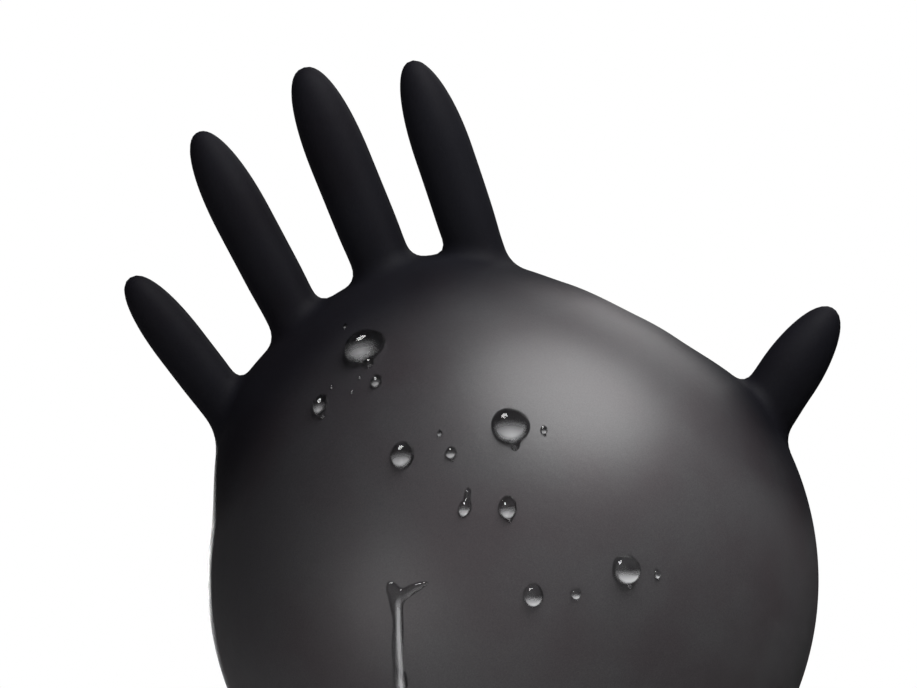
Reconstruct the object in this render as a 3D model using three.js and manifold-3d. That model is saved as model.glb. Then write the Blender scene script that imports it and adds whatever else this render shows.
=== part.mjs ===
// An inflated disposable glove, tied off at the cuff, with water drops on its palm.
//
// Millimetres, +Z up along the glove from the knot to the fingers, +X towards the thumb, -Y the front of
// the palm. The origin is the centre of the knot, where the glove is held or tied. The rubber is a hollow
// film, drawn with a wall thick enough to be a solid. Each finger, the balloon of the palm and the tail of
// the cuff are separate shells, because each one moves on its own: a shell that moves ends in a ball that
// sits in a round seat.
import * as THREE from "three";
import { mergeVertices } from "three/addons/utils/BufferGeometryUtils.js";
import Module from "manifold-3d";

const wasm = await Module();
wasm.setup();

// ---- driving dimensions ----
const WALL = 1.2; // of every film shell
const GAP = 0.3; // between pieces that touch
const PLAY = 0.45; // between a ball and its seat

const BALL_RADIUS = 111; // of the inflated palm
const BALL_HEIGHT = 152; // of its centre above the knot
const DEPTH = 0.9; // front-to-back thickness of the palm as a share of its width
const ROUND_BELOW = 20; // the balloon is round below this height,
const DEEP_ABOVE = 90; // and as deep as DEPTH says above this one
const FUNNEL_START = THREE.MathUtils.degToRad(140); // where the ball ends, as an angle from its top
const FUNNEL_REACH = 48; // how far the ball's curve runs on into the funnel
const THROAT_REACH = 22; // how far the throat's curve runs up into the funnel
const BALLOON_SPLIT = 0.5; // where palm and neck part, as a share of the funnel's curve

// The palm is not quite a ball. Angles are in degrees from +Z towards +X, seen from the front.
const KNUCKLE_RISE = 11.5; // of the ridge under the four fingers
const KNUCKLE_ANGLES = [-66, -38, -2, 26]; // where the ridge begins, is full, is still full and ends
const THUMB_SIDE_DIP = 4.8; // how much flatter the palm is between index finger and thumb
const DIP_ANGLES = [18, 42, 50, 72];
const RIDGE_DEPTH = 40; // the ridge fades towards front and back over about this distance

const NECK_RADIUS = 7.5;
const NECK_PIVOT = 12; // height of the centre of the ball at the neck's lower end
const NECK_TOP_OF_FOLDS = 24; // the gathered film is solid below this height

const KNOT_CORE = 8.6;
const KNOT_HALF_HEIGHT = 8;
const KNOT_ROLL = 7.2; // radius of the middle of the roll round the knot
const KNOT_ROLL_THICKNESS = 4.1;
const KNOT_ROLL_TILT = THREE.MathUtils.degToRad(13);

const TAIL_RADIUS = 6.5; // at the knot
const TAIL_PIVOT = -12;
const TAIL_END = -52; // height of the cuff's hem
const HEM_RADIUS = 27;
const HEM_WAVE = 5; // how far the hem's ruffles swing in and out
const HEM_LIFT = 2.5; // and up and down
const BEAD_RADIUS = 1.3; // of the rolled edge

// The root of a finger is in X and Z from the palm's centre. Its lean is in degrees from +Z towards +X.
const FINGERS = [
  { name: "little_finger", root: [-82, 88.7], lean: -21.5, radius: 9.3, length: 59.5, bend: 0 },
  { name: "ring_finger", root: [-50, 115.4], lean: -12, radius: 10.4, length: 74, bend: 0 },
  { name: "middle_finger", root: [-14, 123.8], lean: -6.2, radius: 11.2, length: 76.8, bend: 0 },
  { name: "index_finger", root: [20, 117.3], lean: -1.2, radius: 10.6, length: 73.8, bend: -2.2 },
  { name: "thumb", root: [110, 38.3], lean: 50, radius: 11.6, length: 37.8, bend: 0 },
];
const SHOULDER = 0.94; // a finger's radius where its tip begins, as a share of its radius at the root
const TIP_LENGTH = 2.1; // the tip's length in shoulder radii
const AIR_HOLE = THREE.MathUtils.degToRad(34); // half the angle of the hole in a finger's base
const SEAT_DROP = 0.5; // how far a seat's rim lies below the finger's centre, in finger radii
const SEAT_FLARE = THREE.MathUtils.degToRad(38); // half the angle of the seat's mouth: fingers curl less
const COLLAR_FLARE = 9; // how far a seat's collar spreads on its way down to the palm
const COLLAR_DEPTH = 16;

// Water drops: the place of each is in X and Z from the palm's centre, and its width and length are across
// and along the way the water runs.
const DROPS = [
  { name: "drop_knuckle_large", at: [-28.2, 95.7], width: 16.5, length: 17.1, height: 7.1 },
  { name: "drop_knuckle_small", at: [-27.2, 83.2], width: 4.7, length: 6.6, height: 2 },
  { name: "drop_left", at: [-48.8, 80.5], width: 6.5, length: 9.6, height: 2.8 },
  { name: "drop_centre_left", at: [-25.4, 55.5], width: 9.2, length: 11, height: 3.7 },
  { name: "drop_centre_speck", at: [-10.5, 59.5], width: 1.9, length: 3.2, height: 0.8 },
  { name: "drop_centre_small", at: [-8.6, 51.7], width: 4.3, length: 5.2, height: 1.8 },
  { name: "drop_centre_large", at: [14.2, 55], width: 13.8, length: 15, height: 5.6 },
  { name: "drop_centre_bead", at: [25.2, 50.4], width: 2.6, length: 3.8, height: 1.1 },
  { name: "drop_run_long", at: [-8.4, 33.6], width: 4.8, length: 11, height: 1.9 },
  { name: "drop_run_short", at: [5.3, 27.7], width: 6.8, length: 9, height: 2.8 },
  { name: "drop_low_large", at: [39.5, -4.9], width: 10.9, length: 11, height: 4.5 },
  { name: "drop_low_bead", at: [49.6, -9.4], width: 2.5, length: 3.6, height: 1.1 },
  { name: "drop_low_middle", at: [5.4, -4.4], width: 7.5, length: 8.4, height: 3.1 },
  { name: "drop_low_small", at: [20, -7.9], width: 3.9, length: 4.2, height: 1.6 },
];
// seen from the front, water runs down this far from -Z towards -X
const RUN_TILT = THREE.MathUtils.degToRad(16);
const RIVULET = { name: "rivulet", at: [-44.2, -4.9], width: 4.8, length: 41, height: 1.7 };

// ---- materials ----
const film = new THREE.MeshStandardMaterial({ color: 0x1d1d1f, roughness: 0.5, metalness: 0 });
const thinFilm = new THREE.MeshStandardMaterial({ color: 0x3c3b3d, roughness: 0.45, metalness: 0 });
const water = new THREE.MeshStandardMaterial({ color: 0xb9c0c6, roughness: 0.03, metalness: 0 });

// ---- helpers ----
const { lerp, smoothstep, degToRad, radToDeg } = THREE.MathUtils;
const point = (r, z) => new THREE.Vector2(r, z);

// Turns a profile of (radius, height) points about Z.
function turned(profile, segments) {
  return new THREE.LatheGeometry(profile, segments).rotateX(Math.PI / 2);
}

// Moves every vertex of a geometry as move(vector) says.
function reshaped(geometry, move) {
  const places = geometry.getAttribute("position");
  const vertex = new THREE.Vector3();
  for (let i = 0; i < places.count; i++) {
    vertex.fromBufferAttribute(places, i);
    move(vertex);
    places.setXYZ(i, vertex.x, vertex.y, vertex.z);
  }
  return geometry;
}

function solidOf(geometry) {
  const bare = geometry.clone();
  bare.deleteAttribute("normal");
  bare.deleteAttribute("uv");
  const merged = mergeVertices(bare, 1e-4);
  const mesh = new wasm.Mesh({
    numProp: 3,
    vertProperties: merged.getAttribute("position").array,
    triVerts: new Uint32Array(merged.index.array),
  });
  return new wasm.Manifold(mesh);
}

function geometryOf(solid) {
  const mesh = solid.getMesh();
  const geometry = new THREE.BufferGeometry();
  geometry.setAttribute("position", new THREE.BufferAttribute(mesh.vertProperties, 3));
  geometry.setIndex(new THREE.BufferAttribute(mesh.triVerts, 1));
  geometry.computeVertexNormals();
  return geometry;
}

function piece(name, geometry, material) {
  const mesh = new THREE.Mesh(geometry, material);
  mesh.name = name;
  return mesh;
}

// A profile moved towards the axis by distance, square to its own line.
function insetProfile(profile, distance) {
  return profile.map((p, i) => {
    const before = profile[Math.max(i - 1, 0)];
    const after = profile[Math.min(i + 1, profile.length - 1)];
    const along = after.clone().sub(before).normalize();
    return point(Math.max(p.x - along.y * distance, 0), p.y + along.x * distance);
  });
}

// ---- the balloon: a ball that runs down a funnel into the neck ----
const funnelTop = point(
  BALL_RADIUS * Math.sin(FUNNEL_START),
  BALL_HEIGHT + BALL_RADIUS * Math.cos(FUNNEL_START),
);
const funnel = new THREE.CubicBezierCurve(
  point(NECK_RADIUS, NECK_PIVOT + 2),
  point(NECK_RADIUS, NECK_PIVOT + 2 + THROAT_REACH),
  point(
    funnelTop.x + FUNNEL_REACH * Math.cos(FUNNEL_START),
    funnelTop.y - FUNNEL_REACH * Math.sin(FUNNEL_START),
  ),
  funnelTop,
);

function funnelPoints(from, to, steps) {
  return Array.from({ length: steps + 1 }, (_, i) => funnel.getPoint(lerp(from, to, i / steps)));
}

function ballPoints(steps) {
  return Array.from({ length: steps }, (_, i) => {
    const angle = lerp(FUNNEL_START, 0, (i + 1) / steps);
    return point(BALL_RADIUS * Math.sin(angle), BALL_HEIGHT + BALL_RADIUS * Math.cos(angle));
  });
}

const depthAt = (z) => lerp(1, DEPTH, smoothstep(z, ROUND_BELOW, DEEP_ABOVE));
const flatten = (vertex) => {
  vertex.y *= depthAt(vertex.z);
};

// Rises and falls again over four angles.
const hill = (angle, [start, full, last, end]) =>
  smoothstep(angle, start, full) * (1 - smoothstep(angle, last, end));

// Raises the ridge under the fingers and dips the thumb's side. The vertex is measured from the palm's
// centre.
function swell(vertex) {
  const angle = radToDeg(Math.atan2(vertex.x, vertex.z));
  const rise = KNUCKLE_RISE * hill(angle, KNUCKLE_ANGLES) - THUMB_SIDE_DIP * hill(angle, DIP_ANGLES);
  const grown = 1 + (rise / BALL_RADIUS) * Math.exp(-((vertex.y / RIDGE_DEPTH) ** 2));
  vertex.x *= grown;
  vertex.z *= grown;
}

const shapedPalm = (vertex) => {
  flatten(vertex);
  vertex.z -= BALL_HEIGHT;
  swell(vertex);
  vertex.z += BALL_HEIGHT;
};

function palmBalloon() {
  const outside = [...funnelPoints(BALLOON_SPLIT, 1, 3), ...ballPoints(17)];
  outside.at(-1).x = 0;
  const lowest = outside[0].y;
  const inside = insetProfile(outside, WALL);
  inside.at(-1).x = 0;
  const shell = solidOf(reshaped(turned([point(0, lowest), ...outside], 38), shapedPalm));
  const below = inside[0].clone().sub(inside[1]).setLength(3).add(inside[0]);
  const hollow = solidOf(reshaped(turned([point(0, below.y), below, ...inside], 38), shapedPalm));
  let outline = shell;
  for (const finger of FINGERS) outline = outline.add(placed(collar(finger), finger));
  let palm = outline.subtract(hollow);
  for (const finger of FINGERS) {
    const cup = placed(seat(finger, WALL), finger).intersect(outline);
    palm = palm.add(cup).subtract(placed(seat(finger), finger));
    palm = palm.subtract(placed(airPassage(finger), finger));
  }
  return piece("palm_balloon", geometryOf(palm), thinFilm);
}

function gatheredNeck() {
  const ball = Array.from({ length: 6 }, (_, i) => {
    const angle = (i / 6) * (Math.PI / 2);
    return point(NECK_RADIUS * Math.sin(angle), NECK_PIVOT - NECK_RADIUS * Math.cos(angle));
  });
  const outside = funnelPoints(0, BALLOON_SPLIT, 8);
  const inside = insetProfile(outside, WALL).filter((p) => p.y > NECK_TOP_OF_FOLDS);
  const rim = outside.at(-1);
  rim.y -= GAP;
  inside.at(-1).y = rim.y;
  const profile = [...ball, ...outside, ...inside.reverse(), point(0, NECK_TOP_OF_FOLDS)];
  return piece("gathered_neck", reshaped(turned(profile, 28), flatten), film);
}

// ---- the fingers ----
// Moves a geometry drawn along +Z with its root at the origin to a finger's root and lean.
function placement({ root, lean }) {
  return new THREE.Matrix4()
    .makeTranslation(root[0], 0, BALL_HEIGHT + root[1])
    .multiply(new THREE.Matrix4().makeRotationY(degToRad(lean)));
}
const placed = (geometry, finger) => solidOf(geometry.clone().applyMatrix4(placement(finger)));

// The fillet between a finger's seat and the palm, solid until the seat is cut in it. It is drawn larger
// all round by margin.
function collar({ radius }, margin = 0) {
  const rim = point(radius * Math.sqrt(1 - SEAT_DROP ** 2) + WALL + margin, margin - radius * SEAT_DROP);
  const curve = new THREE.QuadraticBezierCurve(
    point(rim.x + COLLAR_FLARE, rim.y - COLLAR_DEPTH),
    point(rim.x + 1, rim.y - COLLAR_DEPTH / 2),
    rim,
  );
  return turned([point(0, rim.y - COLLAR_DEPTH), ...curve.getPoints(3), point(0, rim.y)], 18);
}

// The round seat of a finger's ball, with a mouth wide enough for the finger to curl in. It is drawn
// larger all round by margin.
function seat({ radius }, margin = 0) {
  const reach = radius + PLAY + margin;
  const bowl = Array.from({ length: 4 }, (_, i) => {
    const angle = ((i + 1) / 4) * Math.acos(SEAT_DROP);
    return point(reach * Math.sin(angle), -reach * Math.cos(angle));
  });
  const rim = bowl.at(-1);
  const mouth = point(rim.x + (radius - rim.y) * Math.tan(SEAT_FLARE), radius);
  return turned([point(0, -reach), ...bowl, mouth, point(0, radius)], 18);
}

function airPassage({ radius }) {
  const bore = new THREE.CylinderGeometry(radius / 2, radius / 2, 3 * COLLAR_DEPTH, 10);
  return bore.rotateX(Math.PI / 2).translate(0, 0, (-3 * COLLAR_DEPTH) / 2);
}

function fingerShell(finger) {
  const { radius, length, bend } = finger;
  const shoulder = radius * SHOULDER;
  const tip = shoulder * TIP_LENGTH;
  const wall = (inset) => [
    ...Array.from({ length: 6 }, (_, i) => {
      const angle = lerp(AIR_HOLE, Math.PI / 2, i / 5);
      return point((radius - inset) * Math.sin(angle), (inset - radius) * Math.cos(angle));
    }),
    point(radius - inset, (length - tip) * 0.5),
    ...Array.from({ length: 7 }, (_, i) => {
      const angle = (i / 6) * (Math.PI / 2);
      const along = length - tip + (tip - inset) * Math.sin(angle);
      return point(i < 6 ? (shoulder - inset) * Math.cos(angle) : 0, along);
    }),
  ];
  const shell = turned([...wall(WALL).reverse(), ...wall(0)], 18);
  reshaped(shell, (vertex) => {
    vertex.x += bend * (Math.max(vertex.z, 0) / length) ** 2;
  });
  const mesh = piece(finger.name, shell, film);
  mesh.applyMatrix4(placement(finger));
  return mesh;
}

// ---- the knot and the tail of the cuff ----
function knot() {
  const waist = KNOT_HALF_HEIGHT * 0.7;
  const core = turned(
    [
      point(0, -KNOT_HALF_HEIGHT),
      point(KNOT_CORE * 0.86, -KNOT_HALF_HEIGHT),
      point(KNOT_CORE, -waist),
      point(KNOT_CORE, waist),
      point(KNOT_CORE * 0.86, KNOT_HALF_HEIGHT),
      point(0, KNOT_HALF_HEIGHT),
    ],
    28,
  );
  const roll = new THREE.TorusGeometry(KNOT_ROLL, KNOT_ROLL_THICKNESS, 12, 28).rotateY(KNOT_ROLL_TILT);
  const socket = (radius, height) =>
    solidOf(new THREE.SphereGeometry(radius + PLAY, 24, 16).translate(0, 0, height));
  const solid = solidOf(core)
    .add(solidOf(roll))
    .subtract(socket(NECK_RADIUS, NECK_PIVOT))
    .subtract(socket(TAIL_RADIUS, TAIL_PIVOT));
  return piece("knot", geometryOf(solid), film);
}

// How far the cuff's ruffles stand out at an angle round the cuff, from -1 to 1.
const ruffle = (angle) => 0.6 * Math.cos(6 * angle) + 0.4 * Math.cos(4 * angle + 1.1);

// Ruffles a vertex of the tail. They grow from nothing at the knot to their full size at the hem.
function ruffled(vertex) {
  const share = THREE.MathUtils.clamp((TAIL_PIVOT - vertex.z) / (TAIL_PIVOT - TAIL_END), 0, 1.1);
  const angle = Math.atan2(vertex.y, vertex.x);
  const reach = Math.hypot(vertex.x, vertex.y);
  if (reach < 1e-6) return;
  const grown = 1 + (HEM_WAVE * share * share * ruffle(angle)) / Math.max(reach, TAIL_RADIUS);
  vertex.x *= grown;
  vertex.y *= grown;
  vertex.z += HEM_LIFT * share * share * Math.sin(5 * angle + 0.4);
}

function cuffTail() {
  const flare = new THREE.CubicBezierCurve(
    point(HEM_RADIUS, TAIL_END),
    point(HEM_RADIUS - 9, TAIL_END + 12),
    point(TAIL_RADIUS, TAIL_PIVOT - 18),
    point(TAIL_RADIUS, TAIL_PIVOT),
  );
  const outside = flare.getPoints(7);
  const ball = Array.from({ length: 5 }, (_, i) => {
    const angle = ((i + 1) / 5) * (Math.PI / 2);
    return point(i < 4 ? TAIL_RADIUS * Math.cos(angle) : 0, TAIL_PIVOT + TAIL_RADIUS * Math.sin(angle));
  });
  const inside = insetProfile(outside, WALL).slice(0, -2);
  inside[0].y = TAIL_END;
  const roof = point(0, inside.at(-1).y + 1);
  const profile = [roof, ...inside.reverse(), ...outside, ...ball];
  return piece("cuff_tail", reshaped(turned(profile, 54), ruffled), film);
}

function rolledBead() {
  const ring = new THREE.TorusGeometry(HEM_RADIUS - WALL / 2, BEAD_RADIUS, 8, 54);
  ring.translate(0, 0, TAIL_END - BEAD_RADIUS - 2 * GAP);
  return piece("rolled_bead", reshaped(ring, ruffled), film);
}

// ---- water on the palm ----
const AXES = new THREE.Vector3(BALL_RADIUS, BALL_RADIUS * DEPTH, BALL_RADIUS);
const outward = (place) => place.clone().divide(AXES).divide(AXES).normalize();

// A drop is a low cap on the front of the ball, lying along the way the water runs.
function drop({ name, at, width, length, height }) {
  const front = -DEPTH * Math.sqrt(BALL_RADIUS ** 2 - at[0] ** 2 - at[1] ** 2);
  const foot = new THREE.Vector3(at[0], front, at[1]);
  const up = outward(foot);
  const down = new THREE.Vector3(-Math.sin(RUN_TILT), 0, -Math.cos(RUN_TILT));
  down.setY(-down.dot(up) / up.y).normalize();
  const across = new THREE.Vector3().crossVectors(down, up);
  const cap = [point(0, 0), point(0.5, 0), point(0.47, 0.45), point(0.3, 0.86), point(0, 1)];
  const shape = reshaped(turned(cap, 12), (v) => {
    const place = foot
      .clone()
      .addScaledVector(across, v.x * width)
      .addScaledVector(down, v.y * length);
    place.divideScalar(place.clone().divide(AXES).length());
    v.copy(place.addScaledVector(outward(place), GAP + v.z * height));
    swell(v);
    v.z += BALL_HEIGHT;
  });
  let solid = solidOf(shape);
  for (const finger of FINGERS) solid = solid.subtract(placed(collar(finger, GAP), finger));
  return piece(name, geometryOf(solid), water);
}

const glove = new THREE.Group();
glove.add(palmBalloon(), gatheredNeck(), knot(), cuffTail(), rolledBead());
for (const finger of FINGERS) glove.add(fingerShell(finger));
for (const spec of [...DROPS, RIVULET]) glove.add(drop(spec));
export default glove;
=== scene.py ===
"""An inflated disposable glove with water drops on it, tied off at the cuff.

Sizes are in millimetres, in the glove's own frame, until a mesh is made: +Z runs from the knot to the
fingers, +X towards the thumb, and -Y is the front. The film of palm and fingers is one surface, given as a
function that is negative inside the glove. It is meshed once and then cut where it bends, so that its pieces
meet edge to edge with the same normals. The neck is a finer mesh of the same surface. The knot, the cuff's
tail and the tail's rolled edge are surfaces of their own.
"""

import math
from collections import namedtuple

import bmesh
import bpy
import numpy as np
from mathutils import Matrix, Vector


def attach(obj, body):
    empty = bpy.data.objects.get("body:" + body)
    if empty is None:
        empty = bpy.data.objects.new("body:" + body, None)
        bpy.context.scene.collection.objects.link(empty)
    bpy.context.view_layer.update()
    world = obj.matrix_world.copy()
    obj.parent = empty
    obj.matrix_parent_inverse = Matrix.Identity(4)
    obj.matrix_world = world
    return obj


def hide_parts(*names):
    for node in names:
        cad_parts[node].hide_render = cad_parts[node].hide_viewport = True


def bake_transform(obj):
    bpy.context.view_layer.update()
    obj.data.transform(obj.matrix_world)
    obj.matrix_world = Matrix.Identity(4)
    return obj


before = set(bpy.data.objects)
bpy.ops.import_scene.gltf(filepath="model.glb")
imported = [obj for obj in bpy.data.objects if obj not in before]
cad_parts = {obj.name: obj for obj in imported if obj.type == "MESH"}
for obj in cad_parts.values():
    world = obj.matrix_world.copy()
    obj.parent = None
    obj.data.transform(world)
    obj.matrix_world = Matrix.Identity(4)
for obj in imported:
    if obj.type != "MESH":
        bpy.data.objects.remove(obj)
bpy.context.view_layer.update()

MM = 0.001

# ---- the glove's dimensions, as in its CAD part ----
BALL_RADIUS = 111.0  # of the palm
BALL_HEIGHT = 152.0  # of the palm's centre
DEPTH = 0.9  # of the palm from front to back, where its width is 1
ROUND_BELOW, DEEP_ABOVE = 20.0, 90.0  # heights between which the round section is pressed to DEPTH
FUNNEL_START = math.radians(140)  # the angle from +Z at which the palm's ball runs into the funnel
FUNNEL_REACH, THROAT_REACH = 48.0, 22.0  # lengths of the two handles of the funnel's curve
KNUCKLE_RISE = 11.5  # the palm bulges this much under the fingers
KNUCKLE_ANGLES = (-66, -38, -2, 26)  # degrees from +Z: the bulge starts, is full, is last full, and ends
THUMB_SIDE_DIP = 4.8  # the palm is this much flatter between index finger and thumb
DIP_ANGLES = (18, 42, 50, 72)  # as for the bulge
RIDGE_DEPTH = 40.0  # bulge and dip fade out over this depth to the front and back
NECK_RADIUS = 7.5
NECK_PIVOT = 12.0
TAIL_PIVOT = -12.0
TAIL_END = -52.0
TAIL_RADIUS = 6.5
HEM_RADIUS = 27.0
HEM_WAVE = 5.0  # how far the hem waves in and out
HEM_LIFT = 2.5  # and up and down
BEAD_RADIUS = 1.3

# root is in X and Z from the palm's centre, and lean is in degrees from +Z towards +X. bend is how far the
# tip is off the straight towards +X. shoulder is where the tip begins, as a share of the length.
Finger = namedtuple("Finger", "root lean radius length bend shoulder bluntness")
FINGERS = {
    "little": Finger((-82.0, 88.7), -21.5, 9.3, 59.5, 0.0, 0.46, 2.3),
    "ring": Finger((-50.0, 115.4), -12.0, 10.35, 74.4, 0.0, 0.50, 2.2),
    "middle": Finger((-14.0, 123.8), -6.2, 11.1, 76.8, 0.0, 0.50, 2.3),
    "index": Finger((20.0, 117.3), -1.2, 10.6, 74.6, -2.2, 0.52, 2.1),
    "thumb": Finger((110.0, 38.3), 50.0, 11.6, 38.2, 0.0, 0.06, 2.15),
}
FILLET = 5.5  # of the web between palm and finger
ROOT_DEPTH = 26.0  # how far a finger's rod runs on inside the palm
ROOT_WAIST = 0.025  # share by which a finger is narrower near its root than halfway up
WAIST_HEIGHT, WAIST_LENGTH = 4, 7.0  # how far up it is narrowest, and over what length it widens again

# ---- the film ----
FILM = 0.45  # thickness of the film's mesh
SEAM = 3.0  # how far up a finger its own piece of film starts
CUT_MARGIN = 6  # the cut at the seam reaches this far past the finger's radius
FINGER_MARGIN = 5  # film further than this from a finger isn't its own
PLEAT = 0.85  # height of the pleats at the neck
PLEATS_FULL, PLEATS_GONE = 14, 66  # heights between which the pleats fade out
NECK_TOP, BALL_BOTTOM = 40, 60  # heights between which the neck's distance gives way to the ball's
CUT_HEIGHT = 38.0  # where the palm's film and the neck's meet
NECK_START = -4.0  # the neck's film starts inside the knot
NECK_FLOOR = -6  # and its surface is worked out from a little lower
NECK_REACH = 34  # half the width of the box that the neck is meshed in
GLOVE_BOX = ((-126, -106, CUT_HEIGHT - 8), (158, 106, 362))  # the box that palm and fingers are meshed in
KNOT_BOX = ((-13, -13, -10), (13, 13, 10))  # and the knot's
CUFF_STRETCH = 0.3  # how far the film of the neck, knot and cuff is stretched, where the round palm is 1
STRETCH_CENTRE = np.array([4, 0, BALL_HEIGHT - 12.0])
STRETCH_SIZE = np.array([112, 104, 118])  # half the palm's size, as its stretch goes
TAIL_STEPS = 100  # along the curve of the tail's flare
BEAD_SIDES = 14
BEAD_DROP = 0.4  # the rolled edge hangs this far below the hem


def by_quality(full):
    return full


# lengths of the mesh's steps
PALM_STEP = by_quality(2.15)
NECK_STEP = by_quality(0.6)
KNOT_STEP = by_quality(0.35)
LONG_DROP_STEP = by_quality(0.3)
RIVULET_STEP = by_quality(0.35)
DROP_CELLS = by_quality(38)  # steps across a drop
TAIL_COLUMNS, TAIL_ROWS = by_quality((360, 84))


# ---- the surface of the glove ----
def smoothstep(x, low, high):
    t = np.clip((x - low) / (high - low), 0, 1)
    return t * t * (3 - 2 * t)


def hill(angle, corners):
    start, full, last, end = corners
    return smoothstep(angle, start, full) * (1 - smoothstep(angle, last, end))


def smooth_union(a, b, size):
    h = np.maximum(size - np.abs(a - b), 0) / size
    return np.minimum(a, b) - h * h * size / 4


def bezier(points, steps):
    t = np.linspace(0, 1, steps)[:, None]
    p = np.array(points, float)
    return (1 - t) ** 3 * p[0] + 3 * (1 - t) ** 2 * t * p[1] + 3 * (1 - t) * t * t * p[2] + t**3 * p[3]


def outline():
    """The outline of the neck and funnel, from the knot up, as (radius, height)."""
    sine, cosine = math.sin(FUNNEL_START), math.cos(FUNNEL_START)
    top = np.array([BALL_RADIUS * sine, BALL_HEIGHT + BALL_RADIUS * cosine])
    handle = np.array([cosine, -sine]) * FUNNEL_REACH
    throat = NECK_PIVOT + 2
    tube = [(NECK_RADIUS, z) for z in np.linspace(NECK_FLOOR, throat, 20)[:-1]]
    corners = [(NECK_RADIUS, throat), (NECK_RADIUS, throat + THROAT_REACH), top + handle, top]
    return np.vstack([tube, bezier(corners, 160)])


def polar_outline():
    """The whole outline from the palm's top down, as (angle from +Z, distance) about the palm's centre."""
    radius, height = outline()[::-1].T
    angle = np.arctan2(radius, height - BALL_HEIGHT)
    reach = np.hypot(radius, height - BALL_HEIGHT)
    ball = np.linspace(0, FUNNEL_START, 40)[:-1]
    return np.concatenate([ball, angle]), np.concatenate([np.full(len(ball), BALL_RADIUS), reach])


LOW_RADIUS, LOW_HEIGHT = outline().T
LOW_SLOPE = np.gradient(LOW_RADIUS, LOW_HEIGHT)
PROFILE_ANGLE, PROFILE_REACH = polar_outline()
# how far the outline runs outwards for each unit that it runs round, which turns polar distance into true
# distance
PROFILE_RUN = np.gradient(PROFILE_REACH, PROFILE_ANGLE) / PROFILE_REACH


def palm_distance(p):
    """About how far outside the palm and neck each point is."""
    x, y, z = p[:, 0], p[:, 1], p[:, 2] - BALL_HEIGHT
    lean = np.degrees(np.arctan2(x, z))
    rise = KNUCKLE_RISE * hill(lean, KNUCKLE_ANGLES) - THUMB_SIDE_DIP * hill(lean, DIP_ANGLES)
    grown = 1 + rise / BALL_RADIUS * np.exp(-((y / RIDGE_DEPTH) ** 2))
    depth = 1 + (DEPTH - 1) * smoothstep(p[:, 2], ROUND_BELOW, DEEP_ABOVE)
    x, y, z = x / grown, y / depth, z / grown
    around = np.hypot(x, y)
    reach = np.hypot(around, z)
    angle = np.arctan2(around, z)
    edge = np.interp(angle, PROFILE_ANGLE, PROFILE_REACH)
    run = np.interp(angle, PROFILE_ANGLE, PROFILE_RUN)
    ball = (reach - edge) / np.sqrt(1 + run * run)
    # the neck is measured from its axis instead
    radius = np.interp(p[:, 2], LOW_HEIGHT, LOW_RADIUS)
    slope = np.interp(p[:, 2], LOW_HEIGHT, LOW_SLOPE)
    neck = (around - radius) / np.sqrt(1 + slope * slope)
    is_ball = smoothstep(p[:, 2], NECK_TOP, BALL_BOTTOM)
    # the film gathers into pleats towards the knot
    turn = np.arctan2(y, x)
    pleats = 0.62 * np.cos(13 * turn + 0.5 * np.sin(3 * turn)) + 0.38 * np.cos(8 * turn + 1.7)
    near_knot = (1 - smoothstep(p[:, 2], PLEATS_FULL, PLEATS_GONE)) ** 1.5
    gathered = near_knot * np.clip(around / NECK_RADIUS, 0, 1)
    return neck + (ball - neck) * is_ball - PLEAT * pleats * gathered


def finger_axes(lean):
    """The direction along a finger, and the one across it towards the thumb's side."""
    a = math.radians(lean)
    return np.array([math.sin(a), 0, math.cos(a)]), np.array([math.cos(a), 0, -math.sin(a)])


def finger_point(name, distance):
    """The point at a distance up a finger from its root."""
    x, z = FINGERS[name].root
    return np.array([x, 0, BALL_HEIGHT + z]) + finger_axes(FINGERS[name].lean)[0] * distance


def finger_distance(p, name):
    """About how far outside one finger each point is."""
    finger = FINGERS[name]
    along, side = finger_axes(finger.lean)
    q = p - finger_point(name, 0)
    s = q @ along
    across = q @ side - finger.bend * (np.maximum(s, 0) / finger.length) ** 2
    out = np.hypot(across, q[:, 1])
    start = finger.shoulder * finger.length
    size = finger.radius * (1 - ROOT_WAIST * np.exp(-((s - WAIST_HEIGHT) / WAIST_LENGTH) ** 2))
    tip = np.clip(s - start, 0, None) / (finger.length - start)
    body = out - size
    blunt = finger.bluntness
    cap = ((out / size) ** blunt + tip**blunt) ** (1 / blunt) * size - size
    below_root = np.maximum(-s - ROOT_DEPTH, 0)
    return np.where(s > start, cap, body) + below_root


def glove_distance(p):
    d = palm_distance(p)
    for name in FINGERS:
        d = smooth_union(d, finger_distance(p, name), FILLET)
    return d


def slopes(field, p, step=0.02):
    g = np.empty_like(p)
    for k in range(3):
        e = np.zeros(3)
        e[k] = step
        g[:, k] = (field(p + e) - field(p - e)) / (2 * step)
    return g


def unit(v):
    return v / np.maximum(np.linalg.norm(v, axis=1, keepdims=True), 1e-12)


def snap(field, p, rounds):
    """Moves points along the field's slope onto its zero surface."""
    for _ in range(rounds):
        g = slopes(field, p)
        p = p - g * (field(p) / np.maximum((g * g).sum(1), 1e-6))[:, None]
    return p


def cells_beside(edge, u, v, du, dv, cells):
    """The cell on one side of each grid edge, and whether the grid has it."""
    c = [part.copy() for part in edge]
    c[u] -= du
    c[v] -= dv
    return c, np.all([(t >= 0) & (t < n) for t, n in zip(c, cells)], axis=0)


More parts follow.
